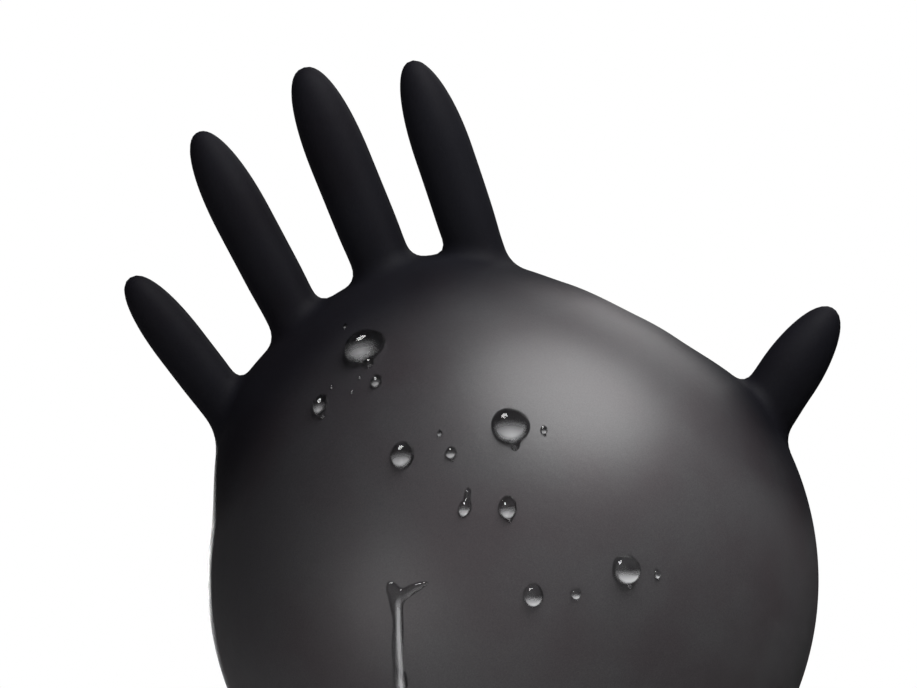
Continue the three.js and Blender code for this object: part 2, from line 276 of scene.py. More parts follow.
def surface(field, low, high, step):
    """Vertices and quads of the field's zero surface, found on a grid: each cell that it crosses has one
    vertex."""
    axes = [np.arange(a - step, b + 2 * step, step) for a, b in zip(low, high)]
    grid = np.empty([len(a) for a in axes])
    ys, zs = np.meshgrid(axes[1], axes[2], indexing="ij")
    for i, x in enumerate(axes[0]):
        points = np.column_stack([np.full(ys.size, x), ys.ravel(), zs.ravel()])
        grid[i] = field(points).reshape(ys.shape)
    inside = grid < 0
    cells = [len(a) - 1 for a in axes]
    # a cell's vertex is the mean of the points where its edges cross the surface
    total, count = np.zeros(cells + [3]), np.zeros(cells)
    crossed = []
    for axis in range(3):
        head = [slice(None)] * 3
        tail = [slice(None)] * 3
        head[axis], tail[axis] = slice(0, -1), slice(1, None)
        starts, ends = grid[tuple(head)], grid[tuple(tail)]
        edge = np.nonzero(inside[tuple(head)] != inside[tuple(tail)])
        where = np.column_stack(edge).astype(float)
        where[:, axis] += starts[edge] / (starts[edge] - ends[edge])
        crossed.append((axis, edge, inside[tuple(head)][edge]))
        u, v = [t for t in range(3) if t != axis]
        for du in (0, 1):
            for dv in (0, 1):
                c, fits = cells_beside(edge, u, v, du, dv, cells)
                at = tuple(t[fits] for t in c)
                np.add.at(total, at, where[fits])
                np.add.at(count, at, 1)
    used = count > 0
    number = np.full(cells, -1)
    number[used] = np.arange(used.sum())
    origin = np.array([a[0] for a in axes])
    verts = total[used] / count[used][:, None] * step + origin
    # each crossed edge has a quad between the four cells around it
    quads = []
    for axis, edge, starts_inside in crossed:
        u, v = [(1, 2), (2, 0), (0, 1)][axis]
        corners = []
        for du, dv in ((1, 1), (0, 1), (0, 0), (1, 0)):
            c, fits = cells_beside(edge, u, v, du, dv, cells)
            c = tuple(np.clip(t, 0, n - 1) for t, n in zip(c, cells))
            corners.append(np.where(fits, number[c], -1))
        q = np.column_stack(corners)
        q[~starts_inside] = q[~starts_inside][:, ::-1]
        quads.append(q)
    quads = np.vstack(quads)
    return verts, quads[np.all(quads >= 0, axis=1)]


def relax(field, verts, quads, rounds, share=0.6):
    """Evens out the mesh along the surface, and keeps it on the surface. In each round a point goes a share
    of the way to the mean of its neighbours."""
    a = np.concatenate([quads[:, k] for k in range(4)])
    b = np.concatenate([quads[:, (k + 1) % 4] for k in range(4)])
    count = np.bincount(a, minlength=len(verts)) + np.bincount(b, minlength=len(verts))
    for _ in range(rounds):
        mean = np.zeros_like(verts)
        for k in range(3):
            total = np.bincount(a, verts[b, k], len(verts)) + np.bincount(b, verts[a, k], len(verts))
            mean[:, k] = total / count
        verts = snap(field, verts + share * (mean - verts), 1)
    return snap(field, verts, 2)


# ---- meshes ----
def as_lists(quads):
    """Faces as lists of whole numbers, with no corner twice."""
    return [list(map(int, dict.fromkeys(q))) for q in quads.tolist()]


def new_mesh(name, verts, faces, normals=None):
    """A smooth object from points in millimetres. normals, one for each point, replace the mesh's own."""
    mesh = bpy.data.meshes.new(name)
    mesh.from_pydata((np.asarray(verts) * MM).tolist(), [], faces)
    mesh.polygons.foreach_set("use_smooth", np.ones(len(mesh.polygons), bool))
    if normals is not None:
        corners = np.zeros(len(mesh.loops), np.int32)
        mesh.loops.foreach_get("vertex_index", corners)
        mesh.normals_split_custom_set(np.asarray(normals)[corners].tolist())
    mesh.update()
    obj = bpy.data.objects.new(name, mesh)
    bpy.context.scene.collection.objects.link(obj)
    return obj


def store(obj, name, values):
    """Keeps one number, or one vector, for each point of a mesh, for its material to read."""
    values = np.asarray(values, np.float32)
    kind, field = ("FLOAT", "value") if values.ndim == 1 else ("FLOAT_VECTOR", "vector")
    obj.data.attributes.new(name, kind, "POINT").data.foreach_set(field, values.ravel())


CUT_DEPTH = 8  # only faces nearer than this to a cutting plane are looked at
CUT_SNAP = 0.12  # points nearer than this to the plane count as on it


def cut_mesh(verts, faces, cuts):
    """Cuts a mesh along planes. Each cut is (point, direction, reach): only faces within reach of the line
    through the point are cut, and a reach of None cuts everything."""
    bm = bmesh.new()
    made = [bm.verts.new(v) for v in verts]
    for f in faces:
        bm.faces.new([made[i] for i in f])
    for at, along, reach in cuts:
        near = []
        for f in bm.faces:
            c = np.array(f.calc_center_median()) - at
            s = c @ along
            if abs(s) < CUT_DEPTH and (reach is None or np.linalg.norm(c - s * along) < reach):
                near.append(f)
        edges = {e for f in near for e in f.edges}
        points = {v for f in near for v in f.verts}
        geometry = [*points, *edges, *near]
        bmesh.ops.bisect_plane(bm, geom=geometry, dist=CUT_SNAP, plane_co=Vector(at), plane_no=Vector(along))
    bm.verts.index_update()
    verts = np.array([v.co for v in bm.verts])
    faces = [[v.index for v in f.verts] for f in bm.faces]
    bm.free()
    return verts, faces


def level_cut(height):
    """A cut right through, for cut_mesh."""
    return np.array([0, 0, height]), np.array([0, 0, 1.0]), None


def face_middles(verts, faces):
    return np.array([verts[f].mean(0) for f in faces])


def part_of(faces, wanted):
    """Which points the wanted faces use, and those faces with their points numbered afresh."""
    kept = [f for f, w in zip(faces, wanted) if w]
    used = np.unique(np.concatenate([np.array(f) for f in kept]))
    number = np.full(used[-1] + 1, -1)
    number[used] = np.arange(len(used))
    return used, [[int(number[i]) for i in f] for f in kept]


def open_edges(faces):
    sides = {(a, b) for f in faces for a, b in zip(f, f[1:] + f[:1])}
    return [(a, b) for a, b in sides if (b, a) not in sides]


def stretch_of(p):
    """How far the film is stretched, from 0 in the fingers to 1 on the round of the palm."""
    off = np.linalg.norm((p - STRETCH_CENTRE) / STRETCH_SIZE, axis=1)
    stretch = 1 - smoothstep(off, 0.72, 1.08)
    stretch = np.maximum(stretch, 0.75 * (1 - smoothstep(off, 0.95, 1.12)))
    # it fades towards the fingers, and from further off towards the thumb
    fingers = np.min([finger_distance(p, n) * (0.65 if n == "thumb" else 1) for n in FINGERS], axis=0)
    stretch *= smoothstep(fingers, 4, 42) * smoothstep(p[:, 2], 16, 74)
    return np.maximum(stretch, CUFF_STRETCH * (1 - smoothstep(p[:, 2], 20, 60)))


def film_piece(name, verts, faces, outward):
    """A closed thin shell: the surface, the same surface a film's thickness inside it, and rims between the
    two."""
    n = len(verts)
    rim = [[b, a, a + n, b + n] for a, b in sorted(open_edges(faces))]
    inner = [[i + n for i in reversed(f)] for f in faces]
    points = np.vstack([verts, verts - outward * FILM])
    obj = new_mesh(name, points, faces + inner + rim, np.vstack([outward, -outward]))
    store(obj, "stretch", np.tile(stretch_of(verts), 2))
    store(obj, "rest", points * MM)
    return obj


def gathered_piece(name, verts, faces, normals=None):
    """A closed piece of the cuff that is not a shell, all of it stretched alike."""
    obj = new_mesh(name, verts, faces, normals)
    store(obj, "stretch", np.full(len(verts), CUFF_STRETCH))
    store(obj, "rest", verts * MM)
    return obj


# ---- the film of palm, fingers and neck ----
def make_palm_and_fingers():
    """One surface, cut across each finger near its root and across the neck."""
    verts, quads = surface(glove_distance, *GLOVE_BOX, PALM_STEP)
    verts = relax(glove_distance, verts, quads, 3)
    cuts = [level_cut(CUT_HEIGHT)]
    for name, finger in FINGERS.items():
        along = finger_axes(finger.lean)[0]
        cuts.append((finger_point(name, SEAM), along, finger.radius + CUT_MARGIN))
    verts, faces = cut_mesh(verts, as_lists(quads), cuts)
    outward = unit(slopes(glove_distance, verts))
    middles = face_middles(verts, faces)
    beyond = {
        name: (((middles - at) @ along) > 0) & (finger_distance(middles, name) < FINGER_MARGIN)
        for name, (at, along, _) in zip(FINGERS, cuts[1:])
    }

    def cut_out(name, wanted):
        used, piece_faces = part_of(faces, wanted)
        return film_piece(name, verts[used], piece_faces, outward[used])

    palm = cut_out("palm_film", (middles[:, 2] > CUT_HEIGHT) & ~np.any(list(beyond.values()), axis=0))
    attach(palm, "balloon")
    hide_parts("palm_balloon")
    pieces = [palm]
    for name in FINGERS:
        node = "thumb" if name == "thumb" else f"{name}_finger"
        piece = cut_out(f"{node}_film", beyond[name])
        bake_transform(piece)
        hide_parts(node)
        pieces.append(piece)
    return pieces


def make_neck():
    low, high = (-NECK_REACH, -NECK_REACH, NECK_FLOOR), (NECK_REACH, NECK_REACH, CUT_HEIGHT + 3)
    verts, quads = surface(palm_distance, low, high, NECK_STEP)
    verts = relax(palm_distance, verts, quads, 2)
    verts, faces = cut_mesh(verts, as_lists(quads), [level_cut(CUT_HEIGHT), level_cut(NECK_START)])
    heights = face_middles(verts, faces)[:, 2]
    used, faces = part_of(faces, (heights > NECK_START) & (heights < CUT_HEIGHT))
    verts = verts[used]
    neck = film_piece("neck_film", verts, faces, unit(slopes(palm_distance, verts)))
    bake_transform(neck)
    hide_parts("gathered_neck")
    return neck


# ---- the knot ----
# turns are about X and Y, in radians. strands is how many folds a ring's section has, and twist how many of
# them it turns by on its way round.
Ring = namedtuple("Ring", "centre turns radius thickness strands twist")
UPPER_RING = Ring((0, 0, 0.9), (0.1, 0.30), 6.5, 3.7, 6, 2)
LOWER_RING = Ring((0.3, 0, -2.3), (-0.22, -0.26), 6.3, 3.4, 5, -3)
# this one crosses over the front and dives under itself
CROSSING_RING = Ring((-0.5, -1.0, -0.6), (0.75, 0.35), 6.9, 2.7, 5, 2)
CORE_RADIUS, CORE_HALF_HEIGHT = 6.8, 6.6


def ring_distance(p, ring):
    """About how far outside a ring of gathered film each point is."""
    turned = Matrix.Rotation(ring.turns[0], 3, "X") @ Matrix.Rotation(ring.turns[1], 3, "Y")
    q = (p - np.array(ring.centre)) @ np.array(turned)
    out = np.hypot(q[:, 0], q[:, 1]) - ring.radius
    turn = np.arctan2(q[:, 1], q[:, 0])
    round_it = np.arctan2(q[:, 2], out) * ring.strands + ring.twist * turn
    folds = 0.3 * np.cos(round_it) + 0.14 * np.cos(2 * round_it + 1.3 * np.sin(2 * turn))
    return np.hypot(out, q[:, 2]) - ring.thickness - folds


def knot_distance(p):
    """Two rings of gathered film and a third one across them, round a solid core."""
    core = np.maximum(np.hypot(p[:, 0], p[:, 1]) - CORE_RADIUS, np.abs(p[:, 2]) - CORE_HALF_HEIGHT)
    rings = smooth_union(ring_distance(p, UPPER_RING), ring_distance(p, LOWER_RING), 0.9)
    rings = smooth_union(rings, ring_distance(p, CROSSING_RING), 0.8)
    return smooth_union(rings, core, 1.6)


def make_knot():
    verts, quads = surface(knot_distance, *KNOT_BOX, KNOT_STEP)
    verts = relax(knot_distance, verts, quads, 1)
    knot = gathered_piece("tied_knot", verts, as_lists(quads), unit(slopes(knot_distance, verts)))
    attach(knot, "knot")
    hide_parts("knot")
    return knot


# ---- the ruffled end of the cuff ----
def hem_ruffle(turn):
    return 0.6 * np.cos(6 * turn) + 0.4 * np.cos(4 * turn + 1.1)


def tail_points(turn, share):
    """Points on the cuff's tail, at an angle round it and a share of the way from the knot to the hem."""
    corners = [
        (TAIL_RADIUS, TAIL_PIVOT + 7),
        (TAIL_RADIUS - 0.5, TAIL_PIVOT - 14),
        (HEM_RADIUS - 9, TAIL_END + 12),
        (HEM_RADIUS, TAIL_END),
    ]
    flare = bezier(corners, TAIL_STEPS)
    at = share * (TAIL_STEPS - 1)
    radius = np.interp(at, np.arange(TAIL_STEPS), flare[:, 0])
    height = np.interp(at, np.arange(TAIL_STEPS), flare[:, 1])
    pleats = 0.6 * np.cos(13 * turn + 0.5 * np.sin(3 * turn)) + 0.4 * np.cos(19 * turn + 2.0)
    small = 0.9 * np.sin(math.pi * np.clip(share * 1.05, 0, 1)) ** 1.2 * pleats
    fine_waves = 0.7 * share**2 * np.cos(11 * turn + 2.2 * np.sin(2 * turn) + 3 * share)
    radius = radius + HEM_WAVE * share**2.2 * hem_ruffle(turn) + small + fine_waves
    height = height + HEM_LIFT * share**2 * np.sin(5 * turn + 0.4)
    lean = turn + 0.05 * share**2 * np.sin(6 * turn + 0.6)
    return np.stack([radius * np.cos(lean), radius * np.sin(lean), height], axis=-1)


def tail_grid():
    """The tail's points in rows from the knot to the hem, and the outward direction at each."""
    turn = np.linspace(0, 2 * math.pi, TAIL_COLUMNS, endpoint=False)
    share = np.linspace(0, 1, TAIL_ROWS)
    grid = tail_points(turn[None, :], share[:, None])
    round_it = np.roll(grid, -1, 1) - np.roll(grid, 1, 1)
    down_it = np.gradient(grid, axis=0)
    outward = unit(np.cross(down_it.reshape(-1, 3), round_it.reshape(-1, 3)))
    return grid, outward.reshape(grid.shape)


def make_tail(grid, outward):
    faces = []
    for row in range(TAIL_ROWS - 1):
        upper, lower = row * TAIL_COLUMNS, (row + 1) * TAIL_COLUMNS
        for c in range(TAIL_COLUMNS):
            beside = (c + 1) % TAIL_COLUMNS
            faces.append([upper + c, lower + c, lower + beside, upper + beside])
    tail = film_piece("cuff_tail_film", grid.reshape(-1, 3), faces, outward.reshape(-1, 3))
    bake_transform(tail)
    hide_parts("cuff_tail")
    return tail


def make_bead(grid, outward):
    """The rolled edge follows the hem. Its section is a little lobed, not quite round."""
    hem = grid[-1] - np.array([0, 0, BEAD_DROP])
    run = unit(np.roll(hem, -1, 0) - np.roll(hem, 1, 0))
    out = unit(outward[-1] - run * np.sum(outward[-1] * run, 1)[:, None])
    down = np.cross(run, out)
    points, faces = [], []
    for side in range(BEAD_SIDES):
        a = 2 * math.pi * side / BEAD_SIDES
        lobes = 1 + 0.05 * math.cos(3 * a + 0.6)
        spoke = out * math.cos(a) + down * math.sin(a)
        points.append(hem + spoke * BEAD_RADIUS * lobes)
        here, there = side * TAIL_COLUMNS, (side + 1) % BEAD_SIDES * TAIL_COLUMNS
        for c in range(TAIL_COLUMNS):
            beside = (c + 1) % TAIL_COLUMNS
            faces.append([there + c, there + beside, here + beside, here + c])
    bead = gathered_piece("rolled_edge", np.vstack(points), faces)
    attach(bead, "tail")
    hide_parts("rolled_bead")
    return bead


film_pieces = [*make_palm_and_fingers(), make_neck(), make_knot()]
tail_shape = tail_grid()
film_pieces += [make_tail(*tail_shape), make_bead(*tail_shape)]


# ---- water ----
LEAN = math.radians(16)  # the glove leans this far to the left in the picture, so water runs towards -X
# place is in X and Z from the palm's centre. foot is the size of the small drop at the lower end, as a share
# of the width.
Drop = namedtuple("Drop", "place width length height foot", defaults=[0.0])
DROPS = {
    "drop_knuckle_large": Drop((-28.2, 95.7), 16.5, 17.1, 7.1, 0.16),
    "drop_knuckle_small": Drop((-27.2, 83.2), 4.7, 6.6, 2.0),
    "drop_left": Drop((-48.8, 80.5), 6.5, 9.6, 2.8, 0.3),
    "drop_centre_left": Drop((-25.4, 55.5), 9.2, 11.0, 3.7),
    "drop_centre_speck": Drop((-10.5, 59.5), 1.9, 3.2, 0.8),
    "drop_centre_small": Drop((-8.6, 51.7), 4.3, 5.2, 1.8, 0.2),
    "drop_centre_large": Drop((14.2, 55.0), 13.8, 15.0, 5.6, 0.17),
    "drop_centre_bead": Drop((25.2, 50.4), 2.6, 3.8, 1.1, 0.25),
    "drop_run_long": Drop((-8.4, 33.6), 4.8, 11.0, 1.9),
    "drop_run_short": Drop((5.3, 27.7), 6.8, 9.0, 2.8, 0.14),
    "drop_low_large": Drop((39.5, -4.9), 10.9, 11.0, 4.5, 0.14),
    "drop_low_bead": Drop((49.6, -9.4), 2.5, 3.6, 1.1, 0.25),
    "drop_low_middle": Drop((5.4, -4.4), 7.5, 8.4, 3.1),
    "drop_low_small": Drop((20.0, -7.9), 3.9, 4.2, 1.6, 0.1),
}
RIVULET_PLACE = (-40.8, 7.1)
RIVULET_EXTENT = (14, 36, 3)  # as in water_mesh
# tiny drops that lie by a larger one and belong to its piece
SPECKS = [
    ("drop_knuckle_large", Drop((-32.8, 105.3), 1.8, 3.4, 0.8)),
    ("drop_knuckle_small", Drop((-32.4, 86.3), 1.4, 2.2, 0.6)),
    ("drop_knuckle_small", Drop((-36.6, 81.9), 1.1, 1.8, 0.5)),
    ("drop_left", Drop((-43.1, 85.8), 1.1, 2.4, 0.5)),
]
EMBEDDED = 0.3  # water reaches this far into the film, so that no air shows between them
FRONT_LIMIT = -140.0  # no film is further to the front than this


def on_front(x, z):
    """The point of the film in front of (x, 0, z), found by halving."""
    near, far = FRONT_LIMIT, 0.0
    for _ in range(40):
        y = (near + far) / 2
        if glove_distance(np.array([[x, y, z]]))[0] > 0:
            near = y
        else:
            far = y
    return np.array([x, (near + far) / 2, z])


def water_frame(x, z):
    """Where water is on the film, and the directions to its left, down the film and away from it, as seen
    from the front."""
    foot = on_front(x, z + BALL_HEIGHT)
    up = unit(slopes(glove_distance, foot[None]))[0]
    down = np.array([-math.sin(LEAN), 0, -math.cos(LEAN)])
    down[1] = -(down @ up) / up[1]
    down /= np.linalg.norm(down)
    return foot, np.array([np.cross(down, up), down, up])


# In the functions below, a is to the right on the film, b is down it, and h is the distance away from it.
def cap_distance(a, b, h, width, length, height, sag=0.0):
    """A cap of water: a low dome, a little uneven, whose fullest part hangs towards its lower end."""
    deep = 0.22 * height
    rise = np.clip((h + deep) / (height + deep), -2, 2)
    b = b - sag * length * (np.clip(h / height, 0, 1.2) - 0.35)
    round_it = np.arctan2(b / length, a / width)
    wobble = 1 + 0.025 * np.cos(2 * round_it + height) + 0.02 * np.cos(3 * round_it + 2.3 * width)
    base = np.sqrt((a / (0.5 * width)) ** 2 + (b / (0.5 * length)) ** 2) / wobble
    return (np.sqrt(base**2 + rise**2) - 1) * height


def painted_drop_glow(a, b, facing_up, width, length):
    """How much painted light a drop has at each point, where its water is made milky to stand for the light
    that
    it focuses on the film: none in its upper part, and most near its lower edge. The painted light starts
    lower in a drop that lies on top of the film."""
    out = np.hypot(a / (0.5 * width), b / (0.5 * length))
    start = -0.15 + 0.85 * max(facing_up - 0.45, 0)
    return smoothstep(2 * b / length, start, start + 0.9) * (1 - smoothstep(out, 0.72, 0.95))


def water_mesh(place, shape, painted_glow, extent, step):
    """Points, quads, normals and painted light of some water. shape is a function of a, b and h, and the
    painted light one of a, b and how far up the film faces. extent is how far the water goes to the side,
    down and away."""
    foot, axes = water_frame(*place)

    def field(q):
        film = glove_distance(q @ axes + foot)
        return np.maximum(shape(-q[:, 0], q[:, 1], film), -film - EMBEDDED)

    low = [-extent[0], -extent[1], -EMBEDDED - 3]
    high = [extent[0], extent[1], extent[2] + 1]
    points, quads = surface(field, low, high, step)
    points = snap(field, relax(field, points, quads, 2), 2)
    light = painted_glow(-points[:, 0], points[:, 1], axes[2][2])
    return points @ axes + foot, quads, unit(slopes(field, points)) @ axes, light


def drop_mesh(drop):
    """A round drop, with a small foot of water at its lower end if it has one."""
    width, length = drop.width, drop.length
    foot_width = drop.foot * width

    def shape(a, b, h):
        d = cap_distance(a, b, h, width, length, drop.height, sag=0.06)
        if drop.foot > 0:
            a, b = a - 0.12 * width, b - 0.5 * length
            foot = cap_distance(a, b, h, foot_width * 1.5, foot_width * 1.7, 0.6 * foot_width)
            d = smooth_union(d, foot, 0.08 * width)
        return d

    def painted_glow(a, b, facing_up):
        return painted_drop_glow(a, b, facing_up, width, length)

    extent = (0.5 * width + 1.2, 0.5 * length + 0.45 * drop.foot * width + 1.5, drop.height)
    return water_mesh(drop.place, shape, painted_glow, extent, max(width, length) / DROP_CELLS)


def long_drop_mesh(drop):
    """A drop that has run down a little and left a thin trail above it, bending to the right."""
    width, length, height = drop.width, drop.length, drop.height
    slant, head_place, head_length = 0.16, 0.17 * length, 0.64 * length

    def shape(a, b, h):
        a = a + slant * b
        head = cap_distance(a, b - head_place, h, width, head_length, height)
        trail = cap_distance(a - 0.2, b + 0.28 * length, h, 0.5 * width, 0.46 * length, 0.6 * height)
        return smooth_union(head, trail, 0.8)

    def painted_glow(a, b, facing_up):
        return painted_drop_glow(a + slant * b, b - head_place, facing_up, width, head_length)

    extent = (0.5 * width + 2, 0.5 * length + 1.5, height)
    return water_mesh(drop.place, shape, painted_glow, extent, LONG_DROP_STEP)


def rivulet_shape(a, b, h):
    """A run of water: a sheet with a short arm to the left and a long one to the upper right gathers into a
    stem, and the stem ends in a full head."""
    way = 0.35 * np.sin(b * 0.22)
    stem = cap_distance(a + 0.4 - way, b - 13.5, h, 4.3, 34, 1.5)
    left = cap_distance(a + 2.6 - 0.25 * (b + 3), b + 2.6, h, 3.4, 8.0, 1.1)
    along = 0.86 * (a - 4.6) - 0.51 * (b + 3.6)
    aside = 0.51 * (a - 4.6) + 0.86 * (b + 3.6)
    right = cap_distance(aside - 0.02 * along**2, along, h, 3.6 - 0.12 * along, 14.5, 1.1)
    head = cap_distance(a + 0.4, b - 29.0, h, 5.6, 8.4, 2.4, sag=0.08)
    return smooth_union(smooth_union(smooth_union(left, right, 1.4), stem, 1.6), head, 1.4)


def painted_rivulet_highlight(a, b, _):
    """A painted highlight: a light line right of the middle of the stem."""
    return 0.7 * smoothstep(b, -3, 5) * (1 - smoothstep(np.abs(a - 0.5), 0.2, 1.3))


def water_piece(name, meshes):
    points, faces, normals, lights, count = [], [], [], [], 0
    for p, q, n, light in meshes:
        points.append(p)
        normals.append(n)
        lights.append(light)
        faces += as_lists(q + count)
        count += len(p)
    obj = new_mesh(f"{name}_water", np.vstack(points), faces, np.vstack(normals))
    # the painted light at each point, for the material to read
    store(obj, "painted_glow", np.concatenate(lights))
    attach(obj, "balloon")
    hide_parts(name)
    return obj


def make_drop(name, drop):
    meshes = [long_drop_mesh(drop) if name == "drop_run_long" else drop_mesh(drop)]
    meshes += [drop_mesh(speck) for owner, speck in SPECKS if owner == name]
    return water_piece(name, meshes)


def make_rivulet():
    mesh = water_mesh(RIVULET_PLACE, rivulet_shape, painted_rivulet_highlight, RIVULET_EXTENT, RIVULET_STEP)
    return water_piece("rivulet", [mesh])


water_pieces = [make_drop(name, drop) for name, drop in DROPS.items()] + [make_rivulet()]


# ---- materials ----
class Nodes:
    """Short ways to add nodes to a tree."""

    def __init__(self, tree):
        self.tree = tree

    def add(self, kind, **settings):
        node = self.tree.nodes.new(kind)
        for key, value in settings.items():
            setattr(node, key, value)
        return node

    def link(self, a, b):
        self.tree.links.new(a, b)

    def read(self, name):
        return self.add("ShaderNodeAttribute", attribute_name=name)

    def noise(self, vector, scale, detail=2.0, roughness=0.5):
        node = self.add("ShaderNodeTexNoise")
        node.inputs["Scale"].default_value = scale
        node.inputs["Detail"].default_value = detail
        node.inputs["Roughness"].default_value = roughness
        self.link(vector, node.inputs["Vector"])
        return node.outputs["Fac"]

    def spread(self, value, low, high, to_low, to_high, **settings):
        """Turns the range from low to high into the range from to_low to to_high."""
        node = self.add("ShaderNodeMapRange", **settings)
        for key, number in zip(("From Min", "From Max", "To Min", "To Max"), (low, high, to_low, to_high)):
            node.inputs[key].default_value = number
        self.link(value, node.inputs["Value"])
        return node.outputs["Result"]

    def mix(self, share, a, b, blend="MIX"):
        """Mixes two colours. Each of the three values is a number, a colour or another node's output."""
        node = self.add("ShaderNodeMix", data_type="RGBA", blend_type=blend)
        for socket, value in (("Factor_Float", share), ("A_Color", a), ("B_Color", b)):
            target = next(i for i in node.inputs if i.identifier == socket)
            if hasattr(value, "is_output"):
                self.link(value, target)
            else:
                target.default_value = value
        return next(o for o in node.outputs if o.identifier == "Result_Color")

    def tinted(self, colour, tint, share):
        """A colour that goes over into the same colour times a tint."""
        return self.mix(share, colour, self.mix(1.0, colour, tint, "MULTIPLY"))

    def bump(self, height, strength, distance, normal=None):
        node = self.add("ShaderNodeBump")
        node.inputs["Strength"].default_value = strength
        node.inputs["Distance"].default_value = distance
        self.link(height, node.inputs["Height"])
        if normal is not None:
            self.link(normal, node.inputs["Normal"])
        return node.outputs["Normal"]

    def mix_shaders(self, share, a, b):
        node = self.add("ShaderNodeMixShader")
        for source, target in zip((share, a, b), node.inputs):
            self.link(source, target)
        return node.outputs["Shader"]


def new_material(name):
    """A material, its nodes and its shader."""
    material = bpy.data.materials.new(name)
    material.use_nodes = True
    return material, Nodes(material.node_tree), material.node_tree.nodes["Principled BSDF"]


# scales of the noise are in waves to a metre
THICK_FILM, STRETCHED_FILM = (0.0040, 0.0040, 0.0056, 1), (0.049, 0.0465, 0.048, 1)
WARM_TINT, DULL_TINT = (0.86, 0.76, 0.79, 1), (0.6, 0.6, 0.62, 1)
CLOUD_SCALE, GLOSS_SCALE, RIPPLE_SCALE, GRAIN_SCALE = 24, 60, 420, 2600
RIPPLE_HEIGHT, GRAIN_HEIGHT = 0.0004, 0.00006  # in metres


def film_material():
    """Black rubber film: dull and near black where it is thick, charcoal and satin where it is stretched,
    with a fine grain."""
    material, n, shader = new_material("black_film")
    rest = n.read("rest").outputs["Vector"]
    stretch = n.read("stretch").outputs["Fac"]
    colour = n.mix(stretch, THICK_FILM, STRETCHED_FILM)
    # slow changes of shade where the film is a little thicker or thinner
    clouds = n.noise(rest, CLOUD_SCALE, 3.0, 0.55)
    colour = n.tinted(colour, WARM_TINT, n.spread(clouds, 0.4, 0.66, 0.0, 1.0))
    grain = n.noise(rest, GRAIN_SCALE, 3.0, 0.6)
    colour = n.tinted(colour, DULL_TINT, n.spread(grain, 0.35, 0.65, 0.0, 1.0))
    n.link(colour, shader.inputs["Base Color"])
    gloss = n.noise(rest, GLOSS_SCALE, 4.0, 0.6)
    n.link(n.spread(gloss, 0.25, 0.75, 0.60, 0.70), shader.inputs["Roughness"])
    shader.inputs["Specular IOR Level"].default_value = 0.04
    # the stretched film's satin
    n.link(n.spread(stretch, 0, 1, 0.0, 0.9), shader.inputs["Coat Weight"])
    shader.inputs["Coat Roughness"].default_value = 0.40
    normal = n.bump(n.noise(rest, RIPPLE_SCALE, 3.0, 0.5), 0.10, RIPPLE_HEIGHT)
    normal = n.bump(grain, 0.35, GRAIN_HEIGHT, normal)
    n.link(normal, shader.inputs["Normal"])
    n.link(normal, shader.inputs["Coat Normal"])
    return material


def water_material():
    """Clear water, greyed a little as painted shade, and milky where a drop has painted light for the light
    that it focuses.
    """
    material, n, shader = new_material("clear_water")
    where = n.add("ShaderNodeTexCoord").outputs["Object"]
    # painted shade: the water is greyed a little so that the drops look darker, by an amount that differs a
    # little at random
    colour = n.mix(n.noise(where, 90), (0.93, 0.94, 0.95, 1), (0.97, 0.97, 0.98, 1))
    n.link(colour, shader.inputs["Base Color"])
    shader.inputs["Roughness"].default_value = 0.03
    shader.inputs["IOR"].default_value = 1.333
    painted_glow = n.read("painted_glow").outputs["Fac"]
    # painted light: the water is made milky, and lets less light through, where the light a drop gathers is
    # painted
    n.link(n.spread(painted_glow, 0, 1, 1.0, 0.52), shader.inputs["Transmission Weight"])
    return material


for pieces, look in ((film_pieces, film_material()), (water_pieces, water_material())):
    for piece in pieces:
        piece.data.materials.append(look)


# ---- floor and surroundings ----
FLOOR_HEIGHT = TAIL_END - 9  # the glove is held just above the floor
FLOOR_RADIUS = 2400
FLOOR_SIDES = 64
FLOOR_FADE = (450, 1900)  # distances from its middle between which it fades into the white surroundings


def make_floor():
    turns = [2 * math.pi * k / FLOOR_SIDES for k in range(FLOOR_SIDES)]
    ring = [(FLOOR_RADIUS * MM * math.cos(a), FLOOR_RADIUS * MM * math.sin(a), 0) for a in turns]
    mesh = bpy.data.meshes.new("floor")
    mesh.from_pydata(ring, [], [list(range(FLOOR_SIDES))])
    obj = bpy.data.objects.new("floor", mesh)
    obj.location.z = FLOOR_HEIGHT * MM
    bpy.context.scene.collection.objects.link(obj)
    material, n, shader = new_material("pale_floor")
    shader.inputs["Base Color"].default_value = (0.8, 0.8, 0.8, 1)
    shader.inputs["Roughness"].default_value = 0.7
    length = n.add("ShaderNodeVectorMath", operation="LENGTH")
    n.link(n.add("ShaderNodeTexCoord").outputs["Object"], length.inputs[0])
    fade = n.spread(length.outputs["Value"], FLOOR_FADE[0] * MM, FLOOR_FADE[1] * MM, 0.0, 1.0)
    clear = n.add("ShaderNodeBsdfTransparent")
    mixed = n.mix_shaders(fade, shader.outputs["BSDF"], clear.outputs["BSDF"])
    n.link(mixed, n.tree.nodes["Material Output"].inputs["Surface"])
    mesh.materials.append(material)
    obj.visible_glossy = False
    return obj


# direction, the cosines of the angles from it where a screen's light starts and is full, and radiance
SCREENS = [
    ((0, 0, 1), -2.0, -1.5, 0.02),  # everywhere: the dark room
    ((-0.42, -0.90, 0.06), 0.25, 1.0, 0.74),  # a wide pale screen at the front left
    ((-0.5, 0.5, -0.4), 0.4, 1.0, 0.25),  # a dim one low at the back left
]


def screen_light(n, way, direction, low, high, radiance):
    """What one screen adds to the light from each way."""
    dot = n.add("ShaderNodeVectorMath", operation="DOT_PRODUCT")
    n.link(way, dot.inputs[0])
    dot.inputs[1].default_value = Vector(direction).normalized()
    return n.spread(dot.outputs["Value"], low, high, 0.0, radiance, interpolation_type="SMOOTHSTEP")


